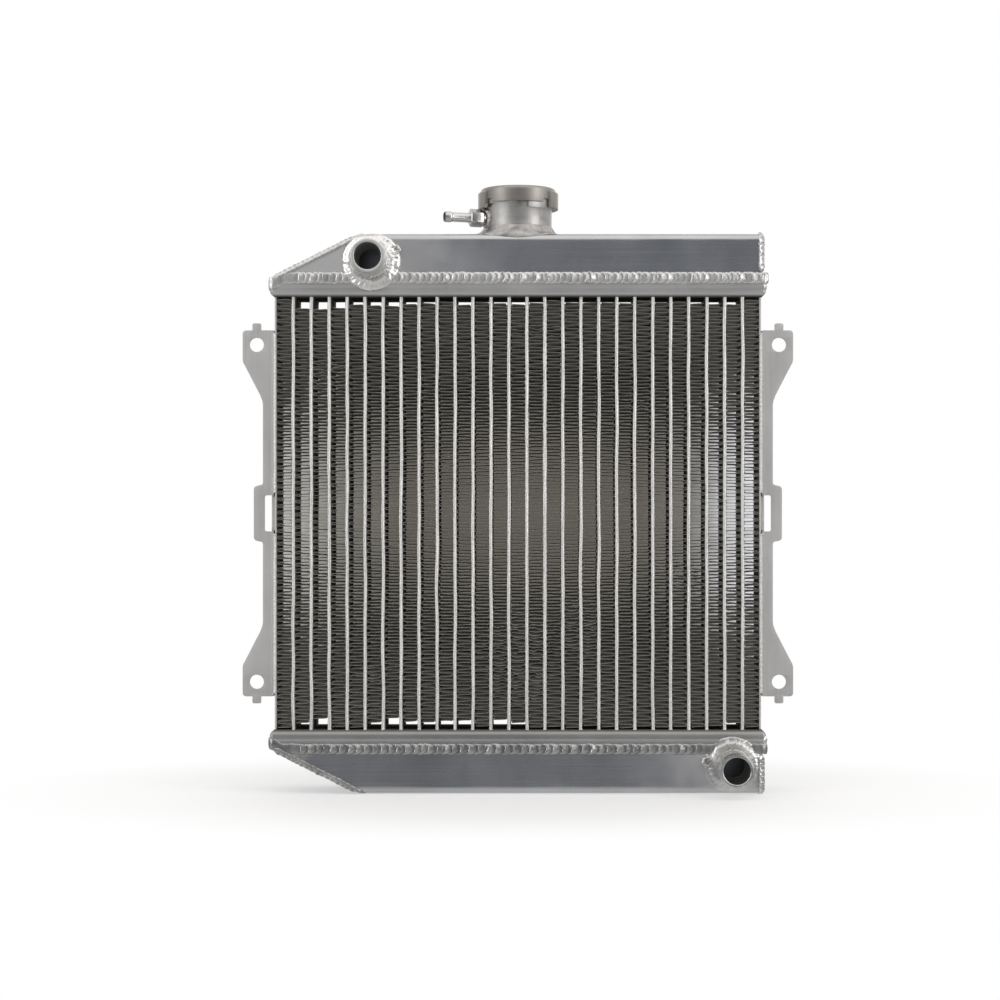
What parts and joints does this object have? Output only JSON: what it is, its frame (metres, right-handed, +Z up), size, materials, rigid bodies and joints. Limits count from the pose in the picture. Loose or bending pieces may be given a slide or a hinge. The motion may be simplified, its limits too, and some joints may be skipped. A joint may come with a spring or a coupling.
{
  "type": "car radiator",
  "caption": "Welded aluminium down-flow car radiator with folded-sheet tanks, corrugated fins, side brackets, hose pipes and a bayonet pressure cap.",
  "frame": {"origin": "middle of the bottom tank's resting face, in the mid-plane of the core", "axes": "+Z up through the core to the filler neck, +X to the right seen from the hose side, -Y towards the hose side"},
  "size_m": [0.428, 0.1052, 0.4737],
  "materials": {
    "tank_aluminium": "brushed and polished folded sheet, with soft dark reflections",
    "core_aluminium": "mill-finish brazed tube and header stock, slightly grainy",
    "fin_aluminium": "thin rolled fin strip, dull, some legs bent",
    "bracket_aluminium": "matte rolled sheet with punched edges",
    "weld_aluminium": "rippled TIG weld beads, satin with bright crests",
    "neck_aluminium": "turned billet with fine tool marks",
    "cap_steel": "pressed and plated steel, warm satin",
    "spring_steel": "drawn spring wire and spring sheet",
    "rubber": "matt moulded rubber",
    "brass": "turned brass"
  },
  "bodies": {
    "radiator": {"core_tubes_and_headers": "core_aluminium", "fin_strip_01": "fin_aluminium", "fin_strip_02": "fin_aluminium", "fin_strip_03": "fin_aluminium", "fin_strip_04": "fin_aluminium", "fin_strip_05": "fin_aluminium", "fin_strip_06": "fin_aluminium", "fin_strip_07": "fin_aluminium", "fin_strip_08": "fin_aluminium", "fin_strip_09": "fin_aluminium", "fin_strip_10": "fin_aluminium", "fin_strip_11": "fin_aluminium", "fin_strip_12": "fin_aluminium", "fin_strip_13": "fin_aluminium", "fin_strip_14": "fin_aluminium", "fin_strip_15": "fin_aluminium", "fin_strip_16": "fin_aluminium", "fin_strip_17": "fin_aluminium", "fin_strip_18": "fin_aluminium", "fin_strip_19": "fin_aluminium", "fin_strip_20": "fin_aluminium", "fin_strip_21": "fin_aluminium", "fin_strip_22": "fin_aluminium", "fin_strip_23": "fin_aluminium", "fin_strip_24": "fin_aluminium", "fin_strip_25": "fin_aluminium", "fin_strip_26": "fin_aluminium", "fin_strip_27": "fin_aluminium", "side_plate_left": "core_aluminium", "side_plate_right": "core_aluminium", "bracket_left": "bracket_aluminium", "bracket_right": "bracket_aluminium", "top_tank_shell": "tank_aluminium", "bottom_tank_shell": "tank_aluminium", "top_tank_end_left": "tank_aluminium", "top_tank_end_right": "tank_aluminium", "bottom_tank_end_left": "tank_aluminium", "bottom_tank_end_right": "tank_aluminium", "inlet_pipe": "tank_aluminium", "outlet_pipe": "tank_aluminium", "filler_neck": "neck_aluminium", "overflow_barb": "neck_aluminium", "top_seam_weld": "weld_aluminium", "bottom_seam_weld": "weld_aluminium", "inlet_weld": "weld_aluminium", "outlet_weld": "weld_aluminium", "neck_weld": "weld_aluminium"},
    "cap_valve_unit": {"cap_bell": "cap_steel", "cap_rivet": "cap_steel", "cap_diaphragm": "spring_steel", "cap_upper_gasket": "rubber", "cap_main_spring": "spring_steel"},
    "cap_cover": {"cap_cover": "cap_steel"},
    "pressure_valve": {"pressure_valve_plate": "cap_steel", "pressure_valve_gasket": "rubber", "vacuum_valve_spring": "spring_steel"},
    "vacuum_valve": {"vacuum_valve": "brass"}
  },
  "joints": [
    {"name": "cap_lift", "type": "slide", "parent": "radiator", "child": "cap_valve_unit", "axis": [0, 0, 1], "range_m": [0, 0.0025]},
    {"name": "cap_turn", "type": "hinge", "parent": "cap_valve_unit", "child": "cap_cover", "pos_m": [0, 0, 0.4655], "axis": [0, 0, 1], "range_deg": [0, 90]},
    {"name": "pressure_valve_lift", "type": "slide", "parent": "cap_valve_unit", "child": "pressure_valve", "axis": [0, 0, 1], "range_m": [0, 0.003], "deforming": ["cap_main_spring"]},
    {"name": "vacuum_valve_drop", "type": "slide", "parent": "pressure_valve", "child": "vacuum_valve", "axis": [0, 0, -1], "range_m": [0, 0.0015], "deforming": ["vacuum_valve_spring"]}
  ],
  "couplings": [
    {"joint": "cap_lift", "follows": "cap_turn", "m_per_rad": 0.0015914}
  ]
}
